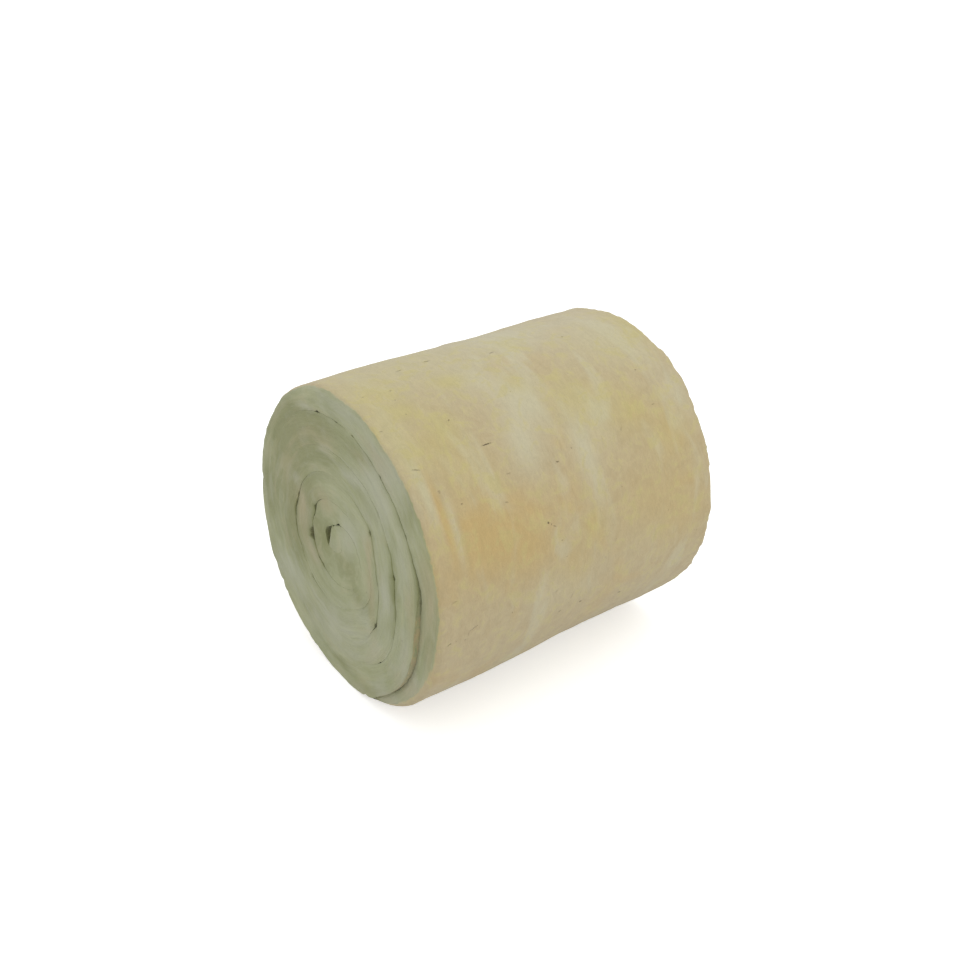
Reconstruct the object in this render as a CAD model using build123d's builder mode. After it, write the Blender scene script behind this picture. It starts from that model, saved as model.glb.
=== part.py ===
from build123d import *
from math import atan2, cos, degrees, radians, sin
import os

# Insulation roll: one blanket of soft mineral wool wound on itself, lying on its side.
# Millimetres. +X runs along the roll's axis, +Z is up, and the origin is on the floor
# under the middle of the roll. The end at -X is the one whose seam is described below:
# seen from outside it, right is -Y and the winding runs outwards clockwise.

# The blanket and how it is wound
blanket_width = 600
blanket_thickness = 50
inner_turns = 4
eye_radius = 14.5
outer_turn_thickness = 42

# The outer rims, worn round in a few flats
rim_round = 9
rim_flats = 3

# The seam between the turns, as it shows on both ends: a worn mouth over a narrow V
seam_mouth = 16
mouth_depth = 4
seam_gap = 5
seam_depth = 18

# The free end of the blanket: where its edge lies, in degrees below the horizontal on
# the right, the groove along that edge, and how far its corner is drawn back at -X
tail_angle = 78
tail_groove_width = 12
tail_groove_depth = 6
tail_set_back = 12

# The seam is a spiral of half turns about two centres, half a thickness apart: the
# upper halves about the roll's axis, the lower halves about the middle of the eye.
half_step = blanket_thickness / 2
half_turns = 2 * inner_turns + 1
last_seam_radius = eye_radius + half_turns * half_step
roll_radius = last_seam_radius + outer_turn_thickness
near_end = -blanket_width / 2

# Cutting profiles stand out of the faces that they cut by as much as the seam is deep.
reach = seam_depth

# From the right-hand side the seam runs out to the free edge on one wider arc, which
# starts in line with the last half turn and meets the outline at the tail, at a narrow
# angle. Its groove is carried on past there until it is clear of the roll.
tail_right = roll_radius * cos(radians(tail_angle))
tail_drop = roll_radius * sin(radians(tail_angle))
run_out_side = last_seam_radius - tail_right
run_out_radius = (run_out_side**2 + tail_drop**2) / (2 * run_out_side)
run_out_centre = last_seam_radius - run_out_radius
run_out_sweep = degrees(atan2(tail_drop, tail_right - run_out_centre))
run_out_extra = degrees(reach / (run_out_radius * sin(radians(tail_angle - run_out_sweep))))

# Each arc of the seam: its centre to the right of the axis, its radius, whether it runs
# over the top, and its sweep in degrees from the right-hand side. The first one follows
# the lower half of the eye, and the seam leaves the eye from there.
seam_arcs = [(-half_step, eye_radius, False, 180)]
for half_turn in range(half_turns):
    over_top = half_turn % 2 == 0
    centre = 0 if over_top else -half_step
    seam_arcs.append((centre, eye_radius + (half_turn + 1) * half_step, over_top, 180))
seam_arcs.append((run_out_centre, run_out_radius, False, run_out_sweep + run_out_extra))

with BuildPart() as end_seam:
    for centre, radius, over_top, sweep in seam_arcs:
        start = Plane(
            origin=(near_end, -(centre + radius), roll_radius),
            x_dir=(0, -1, 0),
            z_dir=(0, 0, -1),
        )
        with BuildSketch(start):
            with BuildLine():
                Polyline(
                    (0, -seam_depth),
                    (seam_gap / 2, -mouth_depth),
                    (seam_mouth / 2, 0),
                    (seam_mouth / 2, reach),
                    (0, reach),
                )
                mirror(about=Plane.YZ)
            make_face()
        turning_axis = Axis((near_end, -centre, roll_radius), (-1 if over_top else 1, 0, 0))
        revolve(axis=turning_axis, revolution_arc=sweep)

# The corner of the free end that is drawn back: all that lies outside the run-out arc,
# below the horizontal, in front of a plane that slants back towards the tail.
end_plane = Plane(origin=(near_end, 0, roll_radius), x_dir=(0, -1, 0), z_dir=(-1, 0, 0))
outside = roll_radius + reach

with BuildPart() as drawn_corner:
    with BuildSketch(end_plane.offset(reach)):
        with BuildLine():
            run_out = CenterArc(
                (run_out_centre, 0), run_out_radius, 0, -(run_out_sweep + run_out_extra)
            )
            Polyline(run_out @ 1, (tail_right, -outside), (outside, -outside), (outside, 0), run_out @ 0)
        make_face()
    extrude(amount=-(tail_set_back + 2 * reach))
    with BuildSketch(Plane.XZ):
        with BuildLine():
            Polyline(
                (near_end - 2 * reach, roll_radius),
                (near_end, roll_radius),
                (near_end + tail_set_back, roll_radius - tail_drop),
                (near_end + tail_set_back, -2 * reach),
                (near_end - 2 * reach, -2 * reach),
                close=True,
            )
        make_face()
    extrude(amount=outside, both=True, mode=Mode.INTERSECT)

# The rim at -X in the plane of the axis, from the end face round to the outer face
worn_rim = []
for flat in range(rim_flats + 1):
    turn = radians(90 * flat / rim_flats)
    worn_rim.append(
        (near_end + rim_round * (1 - cos(turn)), 2 * roll_radius - rim_round * (1 - sin(turn)))
    )

with BuildPart() as wound_blanket:
    # The wound body, turned about its axis
    with BuildSketch(Plane.XZ):
        with BuildLine():
            Polyline((0, roll_radius), (near_end, roll_radius), *worn_rim, (0, 2 * roll_radius))
            mirror(about=Plane.YZ)
        make_face()
    revolve(axis=Axis((0, 0, roll_radius), (1, 0, 0)))

    # The open eye of the winding
    with Locations(end_plane.location * Location((-half_step, 0, 0))):
        Hole(eye_radius)

    # The turns on both ends, and the drawn-back corner of the free end
    add(end_seam.part, mode=Mode.SUBTRACT)
    add(end_seam.part.mirror(Plane.YZ), mode=Mode.SUBTRACT)
    add(drawn_corner.part, mode=Mode.SUBTRACT)

    # The groove along the free edge, from end to end
    tail_plane = Plane(
        origin=(0, -tail_right, roll_radius - tail_drop),
        x_dir=(1, 0, 0),
        z_dir=(0, -cos(radians(tail_angle)), -sin(radians(tail_angle))),
    )
    with BuildSketch(Plane(origin=tail_plane.origin, x_dir=tail_plane.y_dir, z_dir=(1, 0, 0))):
        with BuildLine():
            Polyline(
                (-tail_groove_width / 2, reach),
                (-tail_groove_width / 2, 0),
                (0, -tail_groove_depth),
                (tail_groove_width / 2, 0),
                (tail_groove_width / 2, reach),
                close=True,
            )
        make_face()
    extrude(amount=blanket_width, both=True, mode=Mode.SUBTRACT)

wound_blanket.part.label = "wound_blanket"

os.makedirs("parts", exist_ok=True)
export_step(wound_blanket.part, "parts/wound_blanket.step")
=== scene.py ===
import math
from types import SimpleNamespace

import bmesh
import bpy
import numpy as np
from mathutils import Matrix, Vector


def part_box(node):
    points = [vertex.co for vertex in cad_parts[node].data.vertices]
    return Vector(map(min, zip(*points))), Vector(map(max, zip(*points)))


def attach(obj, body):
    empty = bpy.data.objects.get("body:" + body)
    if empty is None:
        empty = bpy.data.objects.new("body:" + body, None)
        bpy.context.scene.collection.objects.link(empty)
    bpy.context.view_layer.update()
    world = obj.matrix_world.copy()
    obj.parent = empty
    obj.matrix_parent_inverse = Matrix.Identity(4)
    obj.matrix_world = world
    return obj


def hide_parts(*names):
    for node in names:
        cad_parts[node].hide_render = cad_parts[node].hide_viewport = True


# Insulation roll: one blanket of soft mineral wool wound on itself, lying on its side.
# Metres, in the CAD frame: +X along the roll's axis, +Z up, the floor at zero. The near
# end is the one at -X. Seen from outside it, the winding runs outwards clockwise, and an
# angle round the roll is counted from the right, anticlockwise.

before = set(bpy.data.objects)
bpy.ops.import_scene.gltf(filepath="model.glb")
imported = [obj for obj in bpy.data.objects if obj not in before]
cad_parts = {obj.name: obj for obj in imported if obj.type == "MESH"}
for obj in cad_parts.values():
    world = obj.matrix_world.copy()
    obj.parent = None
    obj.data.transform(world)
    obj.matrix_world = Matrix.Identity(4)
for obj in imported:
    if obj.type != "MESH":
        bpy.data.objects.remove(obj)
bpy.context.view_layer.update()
low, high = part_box("wound_blanket")
HALF_LENGTH = (high.x - low.x) / 2
RADIUS = (high.z - low.z) / 2
MM = 0.001

# The seam between the turns as it shows on the near end, point by point: how far the
# winding has turned by there, in degrees clockwise from the right, its distance from the
# axis in thousandths of the roll's radius, and how open it is in hundredths, from 0,
# pressed shut, to 100, a dark gap.
SEAM = (
    (-60, 3, 0), (30, 4, 0), (90, 12, 0), (120, 30, 0), (135, 60, 0), (150, 112, 5), (165, 168, 20),
    (180, 181, 30), (195, 181, 50), (210, 172, 70), (225, 154, 60), (240, 148, 60), (255, 153, 50),
    (266, 166, 70), (280, 170, 10), (300, 174, 0), (338, 190, 0), (450, 270, 0), (476, 302, 0),
    (486, 318, 30), (492, 327, 80), (497, 331, 100), (505, 337, 80), (518, 335, 80),
    (532, 336, 100), (545, 334, 90), (553, 328, 90), (562, 312, 80), (569, 328, 100),
    (580, 330, 50), (592, 324, 30), (602, 312, 0), (640, 296, 0), (700, 292, 0), (720, 300, 0),
    (757, 354, 3), (780, 372, 0), (796, 380, 0), (812, 434, 5), (829, 490, 15), (842, 525, 20),
    (855, 550, 50), (866, 552, 10), (876, 550, 15), (886, 548, 70), (904, 535, 90), (918, 512, 90),
    (927, 505, 50), (940, 498, 25), (969, 485, 12), (982, 483, 0), (1005, 465, 0), (1018, 440, 50),
    (1033, 434, 60), (1041, 428, 100), (1049, 406, 60), (1058, 386, 50), (1080, 377, 40),
    (1105, 420, 30), (1120, 470, 35), (1127, 497, 100), (1136, 520, 25), (1153, 593, 4),
    (1170, 640, 0), (1210, 672, 0), (1260, 690, 0), (1306, 660, 0), (1350, 640, 0), (1380, 627, 15),
    (1395, 608, 25), (1407, 589, 35), (1415, 580, 50), (1431, 571, 90), (1445, 567, 80),
    (1462, 598, 60), (1477, 648, 35), (1489, 690, 20), (1499, 715, 20), (1515, 750, 15),
    (1530, 790, 8), (1575, 835, 0), (1650, 858, 0), (1688, 856, 5), (1699, 855, 30),
    (1706, 853, 12), (1712, 851, 30), (1718, 851, 15), (1724, 850, 40), (1734, 844, 30),
    (1745, 834, 90), (1753, 821, 100), (1762, 812, 110), (1769, 810, 120), (1777, 815, 110),
    (1785, 819, 110), (1791, 815, 100), (1798, 795, 90), (1808, 770, 40), (1820, 784, 30),
    (1832, 826, 30), (1842, 858, 30), (1853, 890, 30), (1864, 925, 30), (1871, 955, 30),
    (1878, 985, 30),
)
TAIL_TURN = 1878
LAST_TURN = TAIL_TURN - 360

# The first stretch of the blanket is folded in on itself. It starts at this turn, where
# its inner face lies against the seam's first turn and its outer face is further round,
# and between the two its cut start leaves the eye of the winding open.
START_TURN = -180
START_CONTACT = 162
START_EDGE_TURN = 236
START_BLEND = 90
FOLD_END = -60

# Small dark pits where two turns part: turn, how far the pit reaches outwards and
# inwards from the seam, and half its length, in millimetres
PITS = (
    (196, 2, 1, 9), (266, 2.6, 1.2, 4.5), (497, 2.2, 2.2, 3), (505, 2.4, 1.2, 3.6),
    (528, 9, 0, 2.6), (532, 11, 0.8, 6.5), (536, 9, 0, 2.6), (569, 4, 0.8, 4.5),
    (855, 2.4, 0.6, 3.6), (893, 2.2, 0.8, 5), (919, 2.4, 0.8, 5), (1041, 2.6, 2.6, 3),
    (1127, 2.6, 2.6, 4), (1431, 2.8, 2.8, 3.6), (1499, 0.8, 0.8, 4), (1699, 3, 1.6, 4.4),
    (1713, 1.2, 0.6, 3), (1724, 1.4, 0.8, 3), (1745, 2, 1, 3.6), (1769, 1.6, 0.8, 4),
    (1797, 1.6, 1, 3.6),
)

# The outline at both ends: angle round the roll, and thousandths of the roll's radius
NEAR_OUTLINE = (
    (0, 985), (30, 1000), (60, 1012), (100, 1022), (112, 1004), (130, 990), (150, 986), (168, 992),
    (175, 980), (181, 996), (192, 1010), (208, 1045), (225, 1055), (240, 1030), (255, 1022),
    (268, 1016), (277, 996), (285, 986), (308, 1012), (330, 1000), (348, 992),
)
FAR_OUTLINE = (
    (0, 993), (20, 993), (35, 1002), (58, 1036), (74, 1024), (86, 1040), (100, 1020), (120, 1008),
    (160, 985), (200, 1004), (235, 1020), (268, 1000), (305, 1014), (318, 1000), (338, 1006),
    (352, 990),
)

# Small notches torn into the near rim: angle, half width in degrees, depth in mm
RIM_NOTCHES = (
    (174.5, 1.2, 3), (210.5, 1, 3), (218, 1, 5.5), (222.5, 1, 3), (247, 1.4, 2.5), (281.5, 1, 4),
)

# By turn, how far the outermost turn's near edge is drawn back, in millimetres
SET_BACK = (
    (1775, 0), (1790, 2), (1800, 8), (1812, 11), (1844, 11), (1856, 8.5), (1868, 6), (1878, 5),
)

# The outermost turn's face is bare from here on, with a finer mesh
BARE_BLEND = (LAST_TURN - 10, LAST_TURN + 2)
SKIN_TURN = LAST_TURN - 8

# The mesh: how far apart columns are, in metres and at most in degrees, rows along the bare
# outer face, steps round a worn edge, shares across a cut edge, depths on hidden faces
COLUMN_STEP = 4.6 * MM
WIDEST_STEP = 6
SKIN_ROWS = 108
CORNER = np.radians([0, 30, 60, 90])
INSIDE = (0.1, 0.26, 0.42, 0.58, 0.74, 0.9)
DEPTHS = (3 * MM, 10 * MM, 24 * MM, 50 * MM, 110 * MM)
EDGE_POINTS = 2 * len(CORNER) + len(INSIDE)
INNER_POINTS = slice(EDGE_POINTS - len(CORNER), EDGE_POINTS + 2 * len(DEPTHS) + len(CORNER))

# The seam's gap on each side and the wear of the edges beside it, in millimetres: pressed
# shut, what openness adds, and to what power
SHUT_GAP = 0.02
OPEN_GAP = 0.9
GAP_GROWTH = 1.5
SHUT_ROUND = 0.06
OPEN_ROUND = 2.0
ROUND_GROWTH = 1.3
MOST_OPEN = 1.8
SEAM_DEPTH = 26 * MM
PIT_DEPTH = 16 * MM
SMALL_RADIUS = 20 * MM

# At the far end, the seam and its pits are open by these shares of the near end's
FAR_OPENNESS = 0.7
FAR_PITS = 0.5

# How far the middle of a cut edge stands out, in millimetres
SHUT_CROWN = 0.1
OPEN_CROWN = 0.6

# The wear of the bare rims in millimetres, its share at each end, where they are crisper,
# and the most that an edge is worn by, as a share of its thickness
RIM_ROUND = 7.5
NEAR_RIM_SHARE = 1.2
FAR_RIM_SHARE = 1.1
RIM_BLEND = 25
CRISP_IN = (1518, 1530)
CRISP_OUT = (1596, 1614)
CRISPNESS = 0.6
ROUND_LIMIT = 0.3

# The blanket's thickness at its free edge, what it grows by, over how many degrees, and
# how much less the outer side of a drawn-back edge is drawn back
TAIL_THICKNESS = 3 * MM
TAIL_GROWTH = 9 * MM
TAIL_TAPER = 60
OUTER_SET_BACK = 0.3

# Felt at the near rim: where it wraps over the cut edge and where most of that ends, the
# strip beside the drawn-back turn, and from how deep in all hidden faces are felt
WRAP_IN = (1788, 1830)
WRAP_OUT = (1850, 1868)
WRAP_LOSS = 0.9
WRAP_WIDTH = 9 * MM
STRIP_IN = (1790, 1812)
STRIP_FELT = 0.5
FELT_DEPTH = 20 * MM

# Painted shade beside and in the seams: its share on a cut edge one step from an open
# seam, and the depths between which a seam is painted darker
EDGE_SHADE_SPREAD = 0.35
SHADE_DEPTHS = (1 * MM, 5 * MM)

# Half the blanket's thickness as a share of the radius, and how its start is rounded off
HALF_THICK = 0.08
CAP_ANGLES = (88, 65, 35)
CAP_DEPTH = 3.5 * MM
CAP_PULL = 0.7

# Unevenness along the winding: rows of a height, a length in degrees and a seed. Heights
# are shares of the radius for the seam, openness for openings, and otherwise millimetres.
SEAM_WANDER = ((0.012, 50, 11),)
WANDER_IN = (220, 330)
WANDER_OUT = (1700, 1800)
NEAR_OPENING = ((0.5, 7, 13),)
FAR_OPENING = ((0.25, 25, 12),)
NEAR_DRIFT = ((0.3, 110, 21), (0.15, 37, 22))
FAR_DRIFT = ((1.2, 120, 23), (0.5, 40, 24))
FAR_SHORT = 1.5
RIM_WAVES = ((2.0, 30, 31),)
FAR_RIM_WAVES = ((1.8, 3.1, 41), (0.9, 1.3, 42))
FAR_RIM_WIDTH = 11 * MM

# Relief in the wool: rows of a height and a size in millimetres and a seed
OUTER_RELIEF = ((1.7, 95, 1), (0.9, 42, 2), (0.5, 19, 3))
FINE_RELIEF = ((0.25, 9, 4),)
WINDING_RELIEF = ((0.5, 26, 5),)
ALONG_WINDING = (1, 0.25, 0.25)
END_RELIEF = ((1.6, 100, 14), (1.1, 45, 6), (0.8, 20, 7), (0.5, 9, 8))
ROUGH_RIM = 22 * MM
NOTCH_REACH = 14 * MM

# The ragged free edge: rows of a swing in degrees, a length in metres and a seed
RAGGED_EDGE = ((0.7, 45 * MM, 9), (0.42, 14 * MM, 10))
RAGGED_TURNS = 25

# The random field: how many values it has, and factors that mix them
NOISE_CELLS = 4096
NOISE_PRIMES = (73856093, 19349663, 83492791)

# Soft lumps and creases in the outer face: angle round the roll, place along it, half
# sizes round and along, and height, in degrees and millimetres
LUMPS = (
    (120, -20, 30, 110, -2.6), (-54, 80, 26, 120, -4), (46, -272, 16, 7, 2.4),
    (38, -258, 12, 5, -2.4), (58, -262, 12, 9, 1.6), (24, -238, 9, 5, -1.8), (26, -228, 12, 6, 1.6),
    (12, -70, 14, 30, -1.5), (62, 30, 12, 60, 1.4), (36, 110, 14, 40, -1.4),
    (80, -150, 12, 50, -1.3), (100, -60, 16, 70, 1.6), (-12, -60, 9, 22, -1.4),
    (-14, 90, 14, 40, 1.2), (15, 200, 12, 30, -1.5), (130, 60, 18, 80, -2), (165, -120, 20, 60, 2),
    (200, 100, 20, 70, -2), (228, -80, 12, 90, 2),
)

# Patches of colour in the outer face: angle round the roll, place along it, half sizes,
# then how warm, how pale and how yellow they are, in hundredths. The pale ones along the
# top, near 90 degrees, are partly painted highlight from the light above.
PATCHES = (
    (22, -205, 15, 75, 100, 0, 10), (14, -110, 12, 60, 75, 0, 10), (26, -20, 9, 40, 45, 0, 0),
    (12, 170, 16, 120, 50, 0, 15), (34, 225, 9, 45, 50, 0, 40), (46, 150, 9, 45, 25, 0, 60),
    (12, 20, 6, 25, 20, 0, 50), (56, 60, 9, 50, 0, 10, 70), (77, -120, 4, 30, 0, 10, 100),
    (68, -20, 5, 22, 0, 0, 70), (44, -190, 8, 50, 25, 0, 35), (55, -230, 7, 40, 20, 0, 50),
    (38, 35, 14, 24, 20, 100, 0), (60, -40, 10, 36, 0, 90, 0), (46, 85, 8, 26, 0, 70, 10),
    (46, 275, 10, 18, 0, 70, 0), (90, 240, 16, 70, 0, 60, 0), (0, -20, 9, 34, 50, 0, 20),
    (0, 220, 9, 60, 40, 0, 10), (46, -75, 10, 30, 0, 90, 0), (74, -75, 9, 40, 0, 70, 0),
    (95, -150, 18, 110, 0, 60, 30), (84, -255, 14, 60, 0, 30, 50), (62, -275, 16, 26, 0, 60, 50),
    (42, -274, 12, 7, 0, 100, 20), (36, -258, 12, 6, 90, 0, 0), (28, -244, 11, 7, 0, 80, 0),
    (60, -185, 7, 30, 0, 0, 70), (70, -230, 4, 24, 0, 0, 80), (88, 40, 5, 24, 0, 0, 70),
    (95, 60, 18, 120, 0, 90, 0), (72, 210, 12, 70, 0, 50, 30), (-8, -40, 9, 90, 0, 35, 0),
    (0, 150, 10, 90, 0, 20, 0), (80, 285, 12, 20, 0, 0, 80), (140, -90, 20, 80, 0, 50, 30),
    (160, 120, 16, 90, 70, 0, 20), (190, -160, 18, 80, 60, 0, 30), (205, 60, 16, 90, 10, 60, 20),
    (235, -60, 16, 120, 40, 20, 0), (240, 190, 14, 70, 10, 10, 60), (290, 80, 16, 120, 20, 40, 0),
    (310, -150, 12, 90, 20, 20, 0),
)

# Patches of colour on the ends, all in hundredths: right and up in the radius, half
# sizes across and upwards, then how olive, how lilac and how tan they are. The large olive
# ones high on the left darken the near end towards its upper left, partly painted shade.
END_PATCHES = (
    (-44, 60, 36, 22, 110, 0, 30), (-62, 30, 24, 30, 80, 0, 20), (-46, 0, 22, 28, 80, 0, 40),
    (-10, 74, 26, 12, 60, 0, 30), (-37, 76, 14, 4, 90, 0, 0), (27, 73, 12, 4, 60, 0, 40),
    (-13, 56, 10, 5, 50, 0, 0), (-12, 63, 8, 4, 0, 70, 0), (17, 57, 16, 5, 0, 90, 0),
    (-49, 28, 7, 6, 0, 80, 0), (-28, 83, 10, 3, 0, 80, 0), (10, 96, 30, 6, 0, 100, 20),
    (-85, 5, 12, 24, 80, 20, 0), (-60, -22, 14, 13, 100, 0, 0), (-44, 14, 7, 9, 0, 20, 70),
    (-33, -20, 8, 8, 0, 30, 70), (-73, -48, 22, 12, 0, 100, 0), (-46, -64, 16, 8, 60, 30, 0),
    (-10, -62, 34, 18, 0, 90, 0), (44, -88, 20, 7, 0, 90, 50), (62, -72, 10, 10, 0, 70, 50),
    (30, -45, 16, 16, 0, 60, 20), (15, -90, 20, 5, 80, 0, 0), (-12, -88, 12, 4, 60, 0, 0),
    (50, -60, 13, 11, 40, 20, 10), (10, 14, 10, 12, 0, 100, 0), (-20, 0, 14, 18, 70, 0, 0),
    (-16, 26, 14, 8, 20, 10, 80), (6, -10, 14, 10, 70, 0, 30), (17, -26, 12, 7, 90, 10, 0),
    (31, -12, 4.5, 24, 10, 0, 100), (32, 18, 4, 10, 10, 0, 80), (56, 2, 3.5, 20, 90, 0, 0),
    (46, -10, 6, 22, 0, 90, 0), (44, 50, 18, 20, 0, 90, 0), (66, 22, 6, 24, 0, 70, 0),
    (73, -4, 5, 20, 0, 10, 80), (66, -40, 7, 20, 0, 90, 40), (90, 14, 10, 32, 60, 0, 90),
    (86, -30, 7, 16, 70, 0, 50), (76, -62, 16, 10, 0, 70, 60), (52, -82, 16, 6, 0, 100, 20),
    (52, 78, 20, 14, 0, 110, 30), (74, 60, 8, 10, 50, 30, 0),
)

# Short nicks and specks in the outer face, painted dark; in a nick the dark is painted
# shade in a small tear. Angle round the roll, place along it, half length, half width, how
# many degrees it leans from the roll's axis, and how dark it is in hundredths
NICKS = (
    (113, -205, 8, 1.5, 8, 75), (84.9, -3, 7, 1.4, 8, 60), (92.4, -110, 9, 1.5, 4, 75),
    (91.8, -166, 8, 1.4, 12, 60), (80.8, -220, 3, 1.6, 0, 60), (81.6, -268, 3, 1.4, 0, 50),
    (65.5, -286, 4, 1.2, 0, 35), (61.5, -174, 2.4, 1.6, 20, 70), (49.9, -137, 11, 1.3, 0, 100),
    (49.4, -270, 8, 1.1, -18, 70), (40.9, -249, 3, 3, 0, 35), (35.1, -221, 2.4, 1.6, 0, 55),
    (30.7, -143, 4, 1.6, -10, 40), (37.1, -27, 4, 1.6, -12, 75), (19.5, -75, 2.6, 2.2, 0, 95),
    (17.6, -64, 5, 1.2, -35, 50), (38.9, -122, 5, 1.6, 0, 35), (-17.3, -1, 4, 1.8, -20, 70),
    (-17.9, -45, 4, 1.8, 30, 60), (-12.3, -25, 7, 1.4, 70, 40), (-7.3, -62, 5, 1.2, 10, 30),
    (-9.3, -279, 6, 1.5, 10, 65), (-10.1, -249, 2, 1.6, 0, 50), (-6.9, -232, 10, 1, 14, 45),
    (6, -268, 7, 1.6, 0, 30), (-22.5, 98, 5, 2.4, -20, 80), (11.7, -51, 2.6, 1.4, 0, 35),
    (5.1, -43, 2.6, 1.4, 0, 35), (82.2, 144, 3, 1.6, 0, 50), (57.9, 212, 2.4, 1.8, 0, 50),
    (44.3, 208, 5, 1.5, 0, 30), (39.7, 10, 2, 1.4, 0, 40), (40, 122, 8, 0.9, 60, 35),
    (150, -80, 8, 1.4, 10, 80), (172, 130, 3, 1.8, 0, 80), (214, -20, 6, 1.5, -20, 70),
    (236, 170, 3, 2, 0, 70), (188, -210, 9, 1.3, 5, 80),
)

# How strong overlapping patches may get, and from how far outside a nick its map fades,
# in millimetres
MOST_TONE = 1.2
NICK_FADE = (7, 12)

# Colours as they look on a screen, and the depth of the relief finer than the mesh. Tones
# are strengths and colours, for warm, pale and yellow felt and olive, lilac and tan edge.
FELT_DARK = (186, 169, 131)
FELT_LIGHT = (193, 178, 142)
FELT_TONES = ((0.8, (196, 167, 108)), (0.85, (199, 192, 161)), (0.7, (194, 182, 120)))
EDGE_DARK = (165, 168, 128)
EDGE_LIGHT = (176, 177, 138)
EDGE_TONES = ((0.8, (136, 138, 90)), (0.6, (184, 184, 162)), (0.65, (178, 165, 128)))
# Painted shade on cut edges beside open seams
EDGE_SHADE_COLOUR = (128, 133, 86)
# Painted shade in the nicks
NICK_SHADE = (98, 80, 50)
# Painted shade down in the seams
SEAM_SHADE = (97, 93, 57)
BUMP_DISTANCE = 0.0022

# The floor, its own glow to the camera, the surroundings, and lamps: name, place,
# diameter, power and tint
FLOOR_HALF = 40.0
FLOOR_DROP = 0.2 * MM
FLOOR_COLOUR = (0.9, 0.9, 0.89, 1)
FLOOR_GLOW = 0.52
WORLD_COLOUR = (0.98, 0.99, 1.0, 1)
WORLD_LEVEL = 0.82
LAMPS = (
    ("overhead", (0.4, -0.5, 3.0), 2.6, 11, (1.0, 0.99, 0.97)),
    ("front_right", (1.6, -2.6, 1.6), 2.0, 7, (1.0, 0.98, 0.95)),
)

# The camera: its heading and downward tilt in degrees, its distance from the roll's
# middle and how far it is moved to the left and up, as shares of the radius, its focal
# length in pixels of the photograph and the photograph's width in them
CAMERA_YAW = 37.69
CAMERA_PITCH = 27.77
CAMERA_DISTANCE = 7.207
CAMERA_LEFT = 0.034
CAMERA_RISE = 0.131
CAMERA_REACH = 200
FOCAL_PIXELS = 1116.7
PHOTO_WIDTH = 955
SENSOR_WIDTH = 36


def noise(points, size, seed):
    """A smooth random field, about -1 to 1, with lumps about size metres across."""
    table = np.random.default_rng(seed).uniform(-1, 1, NOISE_CELLS)
    scaled = np.asarray(points) / size
    corner = np.floor(scaled).astype(np.int64)
    part = scaled - corner
    part = part * part * part * (part * (part * 6 - 15) + 10)
    total = np.zeros(scaled.shape[:-1])
    for near in np.ndindex(2, 2, 2):
        cell = (corner + near) * NOISE_PRIMES
        mixed = (cell[..., 0] ^ cell[..., 1] ^ cell[..., 2]) % NOISE_CELLS
        weight = np.prod(np.where(np.array(near) == 1, part, 1 - part), axis=-1)
        total += table[mixed] * weight
    return total


def lumps(spots, rows):
    """Noise of several sizes, added up. A row is a height, a size in mm and a seed."""
    return sum(height * noise(spots, size * MM, seed) for height, size, seed in rows)


def waves(places, rows):
    """The same along a line, with each size in the line's own unit."""
    places = np.asarray(places, float)
    flat = np.zeros(places.shape + (3,))
    flat[..., 0] = places
    return sum(height * noise(flat, size, seed) for height, size, seed in rows)


def smooth_step(value, start, end):
    share = np.clip((value - start) / (end - start), 0, 1)
    return share * share * (3 - 2 * share)


def between(value, rise, fall):
    """1 between two smooth steps, each given by where it starts and ends."""
    return smooth_step(value, *rise) * (1 - smooth_step(value, *fall))


def soft_patch(one, two=0.0):
    """1 where both distances are nothing, and fading out about one half size away."""
    return np.exp(-(one**2) - two**2)


def smooth_table(rows, column, unit, spread, wrap=False):
    """A table's column, of which unit is one, as a smooth function of its first one.
    spread is in degrees."""
    turns = np.array([row[0] for row in rows], float)
    values = np.array([row[column] / unit for row in rows])
    if wrap:
        turns = np.concatenate([turns - 360, turns, turns + 360])
        values = np.tile(values, 3)
    grid = np.arange(turns[0], turns[-1] + 1)
    fine = np.interp(grid, turns, values)
    reach = int(4 * spread)
    weights = np.exp(-0.5 * (np.arange(-reach, reach + 1) / spread) ** 2)
    padded = np.pad(fine, reach, mode="edge")
    smoothed = np.convolve(padded, weights / weights.sum(), mode="valid")
    if wrap:
        return lambda turn: np.interp(np.mod(turn, 360), grid, smoothed)
    return lambda turn: np.interp(turn, grid, smoothed)


seam_radius = smooth_table(SEAM, 1, 1000, 4)
seam_openness = smooth_table(SEAM, 2, 100, 2.5)
near_radius = smooth_table(NEAR_OUTLINE, 1, 1000, 4, wrap=True)
far_radius = smooth_table(FAR_OUTLINE, 1, 1000, 5, wrap=True)
set_back = smooth_table(SET_BACK, 1, 1, 4)


def on_end(turn, radius):
    """Right and up on the near end, seen from outside, in metres."""
    angle = np.radians(turn)
    return np.stack([radius * np.cos(angle), -radius * np.sin(angle)], axis=-1)


def seam_at(turn, along):
    """The seam's radius in metres. along runs from 0 at the near end to 1 at the far."""
    wander = waves(turn, SEAM_WANDER) * between(turn, WANDER_IN, WANDER_OUT)
    return (seam_radius(turn) + wander * along) * RADIUS


def outline_at(turn, along):
    """The outline's radius in metres, where the seam has made this turn."""
    near = near_radius(-turn)
    far = far_radius(-turn)
    return (near + (far - near) * along) * RADIUS


def openness_at(turn, far_side):
    """How open the seam is, uneven along its length, and another way at the far end."""
    near = seam_openness(turn) * (1 + waves(turn, NEAR_OPENING))
    far = FAR_OPENNESS * seam_openness(turn) + waves(turn, FAR_OPENING)
    return np.clip(np.where(far_side, far, near), 0, MOST_OPEN)


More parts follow.
